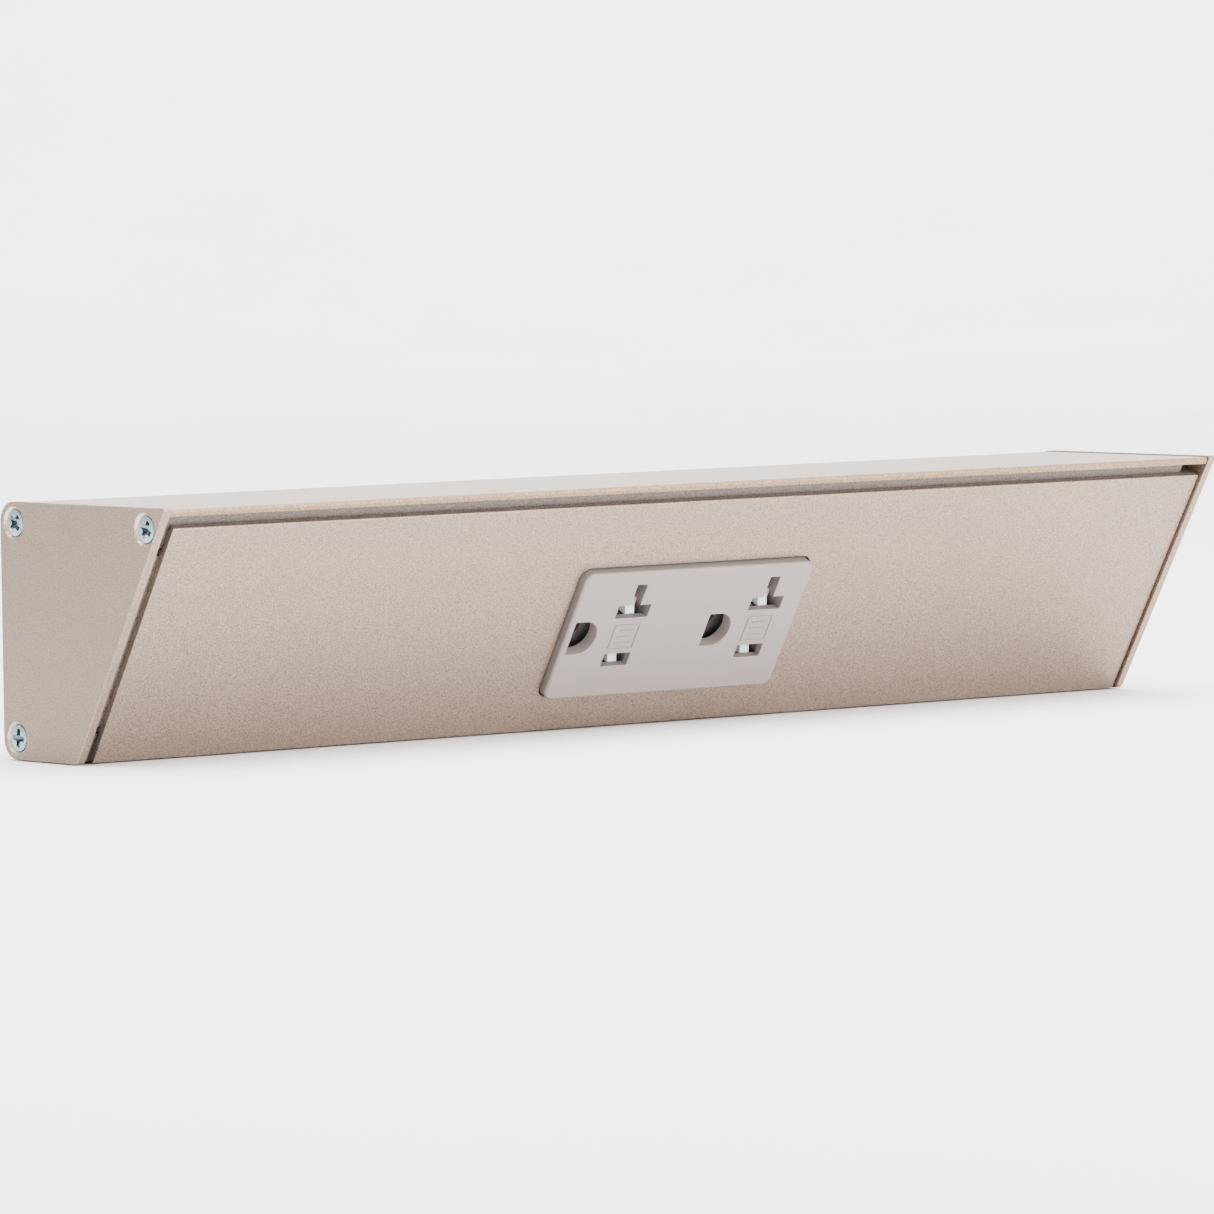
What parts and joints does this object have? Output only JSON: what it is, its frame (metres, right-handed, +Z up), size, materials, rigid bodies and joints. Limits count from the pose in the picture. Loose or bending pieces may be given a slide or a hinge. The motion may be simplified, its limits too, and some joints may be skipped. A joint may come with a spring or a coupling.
{
  "type": "power strip",
  "caption": "Angled hard-wired power strip for under a cabinet or along a desk back: a metal channel with a sloping panel, screwed end plates and a duplex tamper-resistant receptacle.",
  "frame": {"origin": "centre of the flat back face, which is fixed to the wall or the desk", "axes": "+X along the strip to the right seen from the front, +Y out of the back face, +Z up; the sloping front faces -Y and down"},
  "size_m": [0.3048, 0.0594, 0.0558],
  "materials": {
    "satin_nickel": "satin, fine metallic grain",
    "zinc_screws": "bright zinc plate",
    "receptacle_grey": "fine moulded texture",
    "shutter_white": "moulded",
    "spring_steel": "drawn wire",
    "dark_plastic": "moulded",
    "plated_steel": "zinc plated",
    "brass": "pressed sheet",
    "green_screw": "dyed plating",
    "black_insulation": "smooth",
    "white_insulation": "smooth",
    "green_insulation": "smooth",
    "connector_red": "moulded",
    "connector_yellow": "moulded",
    "connector_green": "moulded"
  },
  "bodies": {
    "strip": {"body_channel": "satin_nickel", "front_panel": "satin_nickel", "end_cap_left": "satin_nickel", "end_cap_right": "satin_nickel", "end_cap_screw_left_1": "zinc_screws", "end_cap_screw_left_2": "zinc_screws", "end_cap_screw_left_3": "zinc_screws", "end_cap_screw_right_1": "zinc_screws", "end_cap_screw_right_2": "zinc_screws", "end_cap_screw_right_3": "zinc_screws", "receptacle_cover": "receptacle_grey", "shutter_retainer": "receptacle_grey", "spring_neutral_left": "spring_steel", "spring_neutral_right": "spring_steel", "spring_hot_left": "spring_steel", "spring_hot_right": "spring_steel", "receptacle_housing": "dark_plastic", "cable_bushing": "dark_plastic", "mounting_strap": "plated_steel", "panel_standoff_left": "plated_steel", "panel_standoff_right": "plated_steel", "strap_screw_left": "plated_steel", "strap_screw_right": "plated_steel", "housing_screw_1": "plated_steel", "housing_screw_2": "plated_steel", "housing_screw_3": "plated_steel", "housing_screw_4": "plated_steel", "neutral_terminal_screw_left": "plated_steel", "neutral_terminal_screw_right": "plated_steel", "hot_bus": "brass", "neutral_bus": "brass", "ground_bus": "brass", "hot_terminal_screw_left": "brass", "hot_terminal_screw_right": "brass", "ground_terminal_screw": "green_screw", "chassis_ground_screw": "green_screw", "hot_lead": "black_insulation", "neutral_lead": "white_insulation", "ground_lead": "green_insulation", "bonding_lead": "green_insulation", "wire_connector_hot": "connector_red", "wire_connector_neutral": "connector_yellow", "wire_connector_ground": "connector_green"},
    "shutter_neutral_left": {"shutter_neutral_left": "shutter_white"},
    "shutter_neutral_right": {"shutter_neutral_right": "shutter_white"},
    "shutter_hot_left": {"shutter_hot_left": "shutter_white"},
    "shutter_hot_right": {"shutter_hot_right": "shutter_white"}
  },
  "joints": [
    {"name": "neutral_shutter_left_slide", "type": "slide", "parent": "strip", "child": "shutter_neutral_left", "axis": [0, 0.5097, -0.8603], "range_m": [0, 0.004], "stiffness_N_per_m": 60, "springref_m": -0.002, "deforming": ["spring_neutral_left"]},
    {"name": "hot_shutter_left_slide", "type": "slide", "parent": "strip", "child": "shutter_hot_left", "axis": [0, 0.5097, -0.8603], "range_m": [0, 0.004], "stiffness_N_per_m": 60, "springref_m": -0.002, "deforming": ["spring_hot_left"]},
    {"name": "neutral_shutter_right_slide", "type": "slide", "parent": "strip", "child": "shutter_neutral_right", "axis": [0, 0.5097, -0.8603], "range_m": [0, 0.004], "stiffness_N_per_m": 60, "springref_m": -0.002, "deforming": ["spring_neutral_right"]},
    {"name": "hot_shutter_right_slide", "type": "slide", "parent": "strip", "child": "shutter_hot_right", "axis": [0, 0.5097, -0.8603], "range_m": [0, 0.004], "stiffness_N_per_m": 60, "springref_m": -0.002, "deforming": ["spring_hot_right"]}
  ],
  "couplings": [
    {"joint": "hot_shutter_left_slide", "follows": "neutral_shutter_left_slide", "ratio": 1},
    {"joint": "hot_shutter_right_slide", "follows": "neutral_shutter_right_slide", "ratio": 1}
  ]
}
